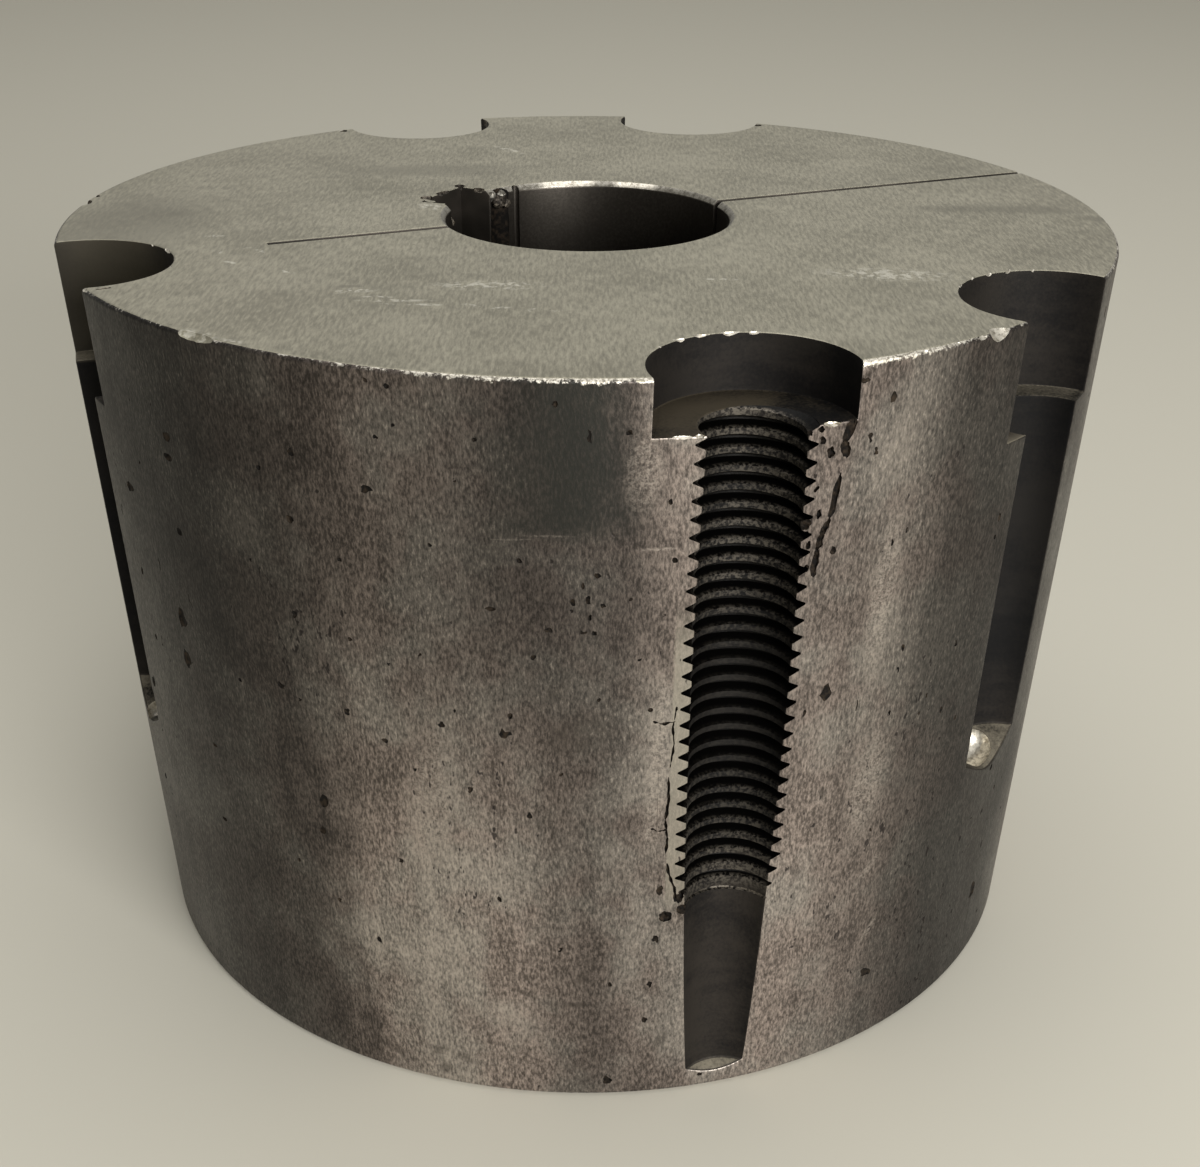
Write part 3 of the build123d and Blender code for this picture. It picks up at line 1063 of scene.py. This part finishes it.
# The keyway's mouth: a dark tear in the top beside one wall, a ripped flap of metal at the
# other, and below it a gouge and a score that run the whole length of the bore.
knocked(
    [
        (140.4, 19.3, 88.7, (4.4, 1.7, 2.6)),
        (142.6, 17.6, 88.2, (1.8, 2.0, 4.0)),
        (141.2, 21.0, 88.9, (1.6, 1.2, 1.2)),
        (136.4, 22.0, 88.9, (1.5, 1.8, 1.3)),
        (127.4, 21.6, 88.9, (0.9, 2.6, 0.9)),
        (116.4, 22.2, 88.9, (1.4, 1.6, 1.3)),
        (115.2, 19.2, 88.9, (1.7, 1.1, 0.9)),
    ],
    TORN,
    0.8,
    0.6,
)


def scraper(angle, away, radius, material, rough):
    """A long round bar with an uneven surface, for gouging the bore from end to end."""
    turn = math.radians(angle)
    clear()
    bpy.ops.mesh.primitive_cylinder_add(vertices=20, radius=radius * MM, depth=BODY_LENGTH + 6 * MM)
    bar = bpy.context.object
    bar.location = (away * MM * math.cos(turn), away * MM * math.sin(turn), BODY_LENGTH / 2)
    done(bar, material)
    pick(bar, lambda start, end: abs(start.z - end.z) > 10 * MM, "EDGE")
    bpy.ops.mesh.subdivide(number_cuts=70)
    bpy.ops.object.mode_set(mode="OBJECT")
    return roughened(bar, 1.4, rough)


cut(bush, scraper(108.9, 15.8, 2.2, PITTED, 0.4))
cut(bush, scraper(100.2, 17.62, 0.5, BORED, 0.15))
for angle, radius, height, size, finish in (
    (112.4, 17.9, 88.0, (1.3, 1.3, 1.5), BROKEN),
    (109.8, 17.3, 87.3, (1.4, 2.0, 1.6), TORN),
    (107.4, 17.6, 88.1, (1.2, 1.2, 1.0), BROKEN),
    (105.8, 17.2, 86.9, (1.0, 1.2, 1.2), TORN),
):
    cut(bush, roughened(lump(angle, radius, height, size, finish), 0.6, 0.7), "UNION")


# The threads: both jacking holes are tapped, from the ledge to where the tap ran out above
# the drill's point. A V-shaped profile is swept up the hole as a screw and cut away;
# the profile flares where it meets the drilled wall, so that the crests come out rounded.

THREAD_PITCH = 1.954 * MM
THREAD_TOP = 85.5 * MM
THREAD_FOOT = 26.3 * MM
# The upper half of the cut between two crests, in millimetres from the hole's axis and up.
HALF_PROFILE = ((6.37, 0.10), (5.56, 0.50), (5.25, 0.68), (5.02, 0.84))
# The tap's first turns are shallower: over this many, by up to this share.
LEAD_TURNS = 2.5
LEAD_LOSS = 0.16


def tapped_iron():
    """Thread flanks black with old oil, with crests rubbed paler, and painted shade on the crests in the
    middle of the thread.
    """
    material, tree, where = new_material("tapped iron")
    grain = use_group(tree, GRAIN, Vector=where)
    split = put(tree, "ShaderNodeSeparateXYZ")
    feed(tree, split.inputs[0], where)
    crest = spread(tree, from_jack_axes(tree, split), 5.3 * MM, 5.75 * MM, 1.0, 0.0)
    crest = maths(tree, "MULTIPLY", crest, crest_wear_and_shade(tree, split, grain))
    color = blend(tree, crest, (0.002, 0.0016, 0.0012, 1), (0.13, 0.113, 0.09, 1))
    finish_shader(material, color, 0.4, 0.8, grain["Grain"], 0.3, 0.0001)
    return material


def tap(angle):
    """The coil of iron that a tap takes out of the hole at this angle."""
    turn = math.radians(angle)
    shape = HALF_PROFILE + tuple((out, -up) for out, up in reversed(HALF_PROFILE))
    clear()
    bpy.ops.mesh.primitive_circle_add(vertices=len(shape), radius=1 * MM, fill_type="NOTHING")
    profile = bpy.context.object
    for vertex, (out, up) in zip(profile.data.vertices, shape):
        vertex.co = (out * MM, 0, up * MM)
    screw = profile.modifiers.new("screw", "SCREW")
    screw.axis = "Z"
    screw.angle = math.tau
    screw.steps = 56
    screw.render_steps = 56
    screw.iterations = int((THREAD_TOP - THREAD_FOOT) / THREAD_PITCH)
    screw.screw_offset = THREAD_PITCH
    screw.use_merge_vertices = False
    apply(profile, screw)
    edit(profile, "EDGE")
    bpy.ops.mesh.select_non_manifold()
    bpy.ops.mesh.fill_holes(sides=0)
    bpy.ops.mesh.select_all(action="SELECT")
    bpy.ops.mesh.normals_make_consistent(inside=False)
    bpy.ops.object.mode_set(mode="OBJECT")
    for vertex in profile.data.vertices:
        lead = vertex.co.z / (LEAD_TURNS * THREAD_PITCH)
        if lead < 1.0:
            shallow = 1.0 - LEAD_LOSS * (1.0 - max(lead, 0.0))
            vertex.co.x *= shallow
            vertex.co.y *= shallow
    profile.location = (HOLE_CIRCLE * math.cos(turn), HOLE_CIRCLE * math.sin(turn), THREAD_FOOT)
    return done(profile, TAPPED)


TAPPED = tapped_iron()
cut(bush, joined([tap(angle) for angle in JACK_ANGLES]))


# The finished bush is one piece of iron with no fastener of its own. Its large end is made
# level after all the cuts, its turned faces are shaded smooth between sharp arrises, and it
# stands for the one solid of the part.

only(bush)
for vertex in bush.data.vertices:
    if abs(vertex.co.z - BODY_LENGTH) < 0.03 * MM:
        vertex.co.z = BODY_LENGTH
bpy.ops.object.shade_smooth_by_angle(angle=SHARP)
for face in bush.data.polygons:
    if abs(face.normal.z) > 0.999:
        face.use_smooth = False
level = bush.modifiers.new("level normals", "WEIGHTED_NORMAL")
level.keep_sharp = True
level.weight = 80
apply(bush, level)
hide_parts("taper_bush")
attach(bush, "root")


# The stage is a plain pale floor with soft lamps round it: a broad one overhead, one behind,
# and a small one in front that puts the sheen on the taper. The camera stands a little to
# the left of the front thread, and looks down on the large end.

FLOOR_GAP = 0.02 * MM
# The lamps aim at this height on the bore's axis, in metres.
LAMP_AIM = 0.045
# The camera's angles round the bush and over it, its distance in metres from the point that
# it aims at, and how far to the side and how high that point lies.
AZIMUTH = math.radians(-22.655)
ELEVATION = math.radians(25.183)
ROLL = math.radians(0.2696)
CAMERA_DISTANCE = 0.24288
AIM_ASIDE = 0.0017486
AIM_UP = 0.038454

clear()
bpy.ops.mesh.primitive_plane_add(size=3.0, location=(0, 0, -FLOOR_GAP))
floor = bpy.context.object
floor.name = "floor"
done(floor)
pale = bpy.data.materials.new("pale floor")
pale.use_nodes = True
pale_shader = pale.node_tree.nodes["Principled BSDF"]
pale_shader.inputs["Base Color"].default_value = (0.5, 0.475, 0.4, 1)
pale_shader.inputs["Roughness"].default_value = 0.85
floor.data.materials.append(pale)

world = bpy.data.worlds.new("studio")
world.use_nodes = True
bpy.context.scene.world = world
background = world.node_tree.nodes["Background"]
background.inputs["Color"].default_value = (0.93, 0.92, 0.86, 1)
background.inputs["Strength"].default_value = 0.4


def lamp(name, angle, distance, height, width, tall, power):
    """A soft rectangular lamp, aimed at the middle of the bush."""
    turn = math.radians(angle)
    clear()
    bpy.ops.object.light_add(type="AREA")
    made = bpy.context.object
    made.name = name
    made.location = (distance * math.cos(turn), distance * math.sin(turn), height)
    aim = Vector((0, 0, LAMP_AIM)) - made.location
    made.rotation_euler = aim.to_track_quat("-Z", "Y").to_euler()
    made.data.shape = "RECTANGLE"
    made.data.size = width
    made.data.size_y = tall
    made.data.energy = power
    made.visible_camera = False


lamp("overhead", 60, 0.1, 0.95, 0.9, 0.9, 4.2)
lamp("behind", 67, 1.3, 0.95, 1.6, 0.9, 1.5)
lamp("front", -86, 0.7, 0.2, 0.4, 0.3, 9.0)

clear()
bpy.ops.object.camera_add()
camera = bpy.context.object
camera.name = "camera"
aim = Vector((AIM_ASIDE * math.cos(AZIMUTH), AIM_ASIDE * math.sin(AZIMUTH), AIM_UP))
back = Vector((
    math.sin(AZIMUTH) * math.cos(ELEVATION),
    -math.cos(AZIMUTH) * math.cos(ELEVATION),
    math.sin(ELEVATION),
))
camera.location = aim + back * CAMERA_DISTANCE
camera.rotation_mode = "QUATERNION"
pan = Quaternion((0, 0, 1), AZIMUTH)
tilt = Quaternion((1, 0, 0), math.radians(90) - ELEVATION)
roll = Quaternion((0, 0, 1), ROLL)
camera.rotation_quaternion = pan @ tilt @ roll
camera.data.lens = 53.88
camera.data.sensor_width = 36.0
camera.data.sensor_fit = "HORIZONTAL"
camera.data.clip_start = 0.01
camera.data.clip_end = 20.0
bpy.context.scene.camera = camera
bpy.context.scene.view_settings.view_transform = "Standard"

bpy.context.view_layer.update()
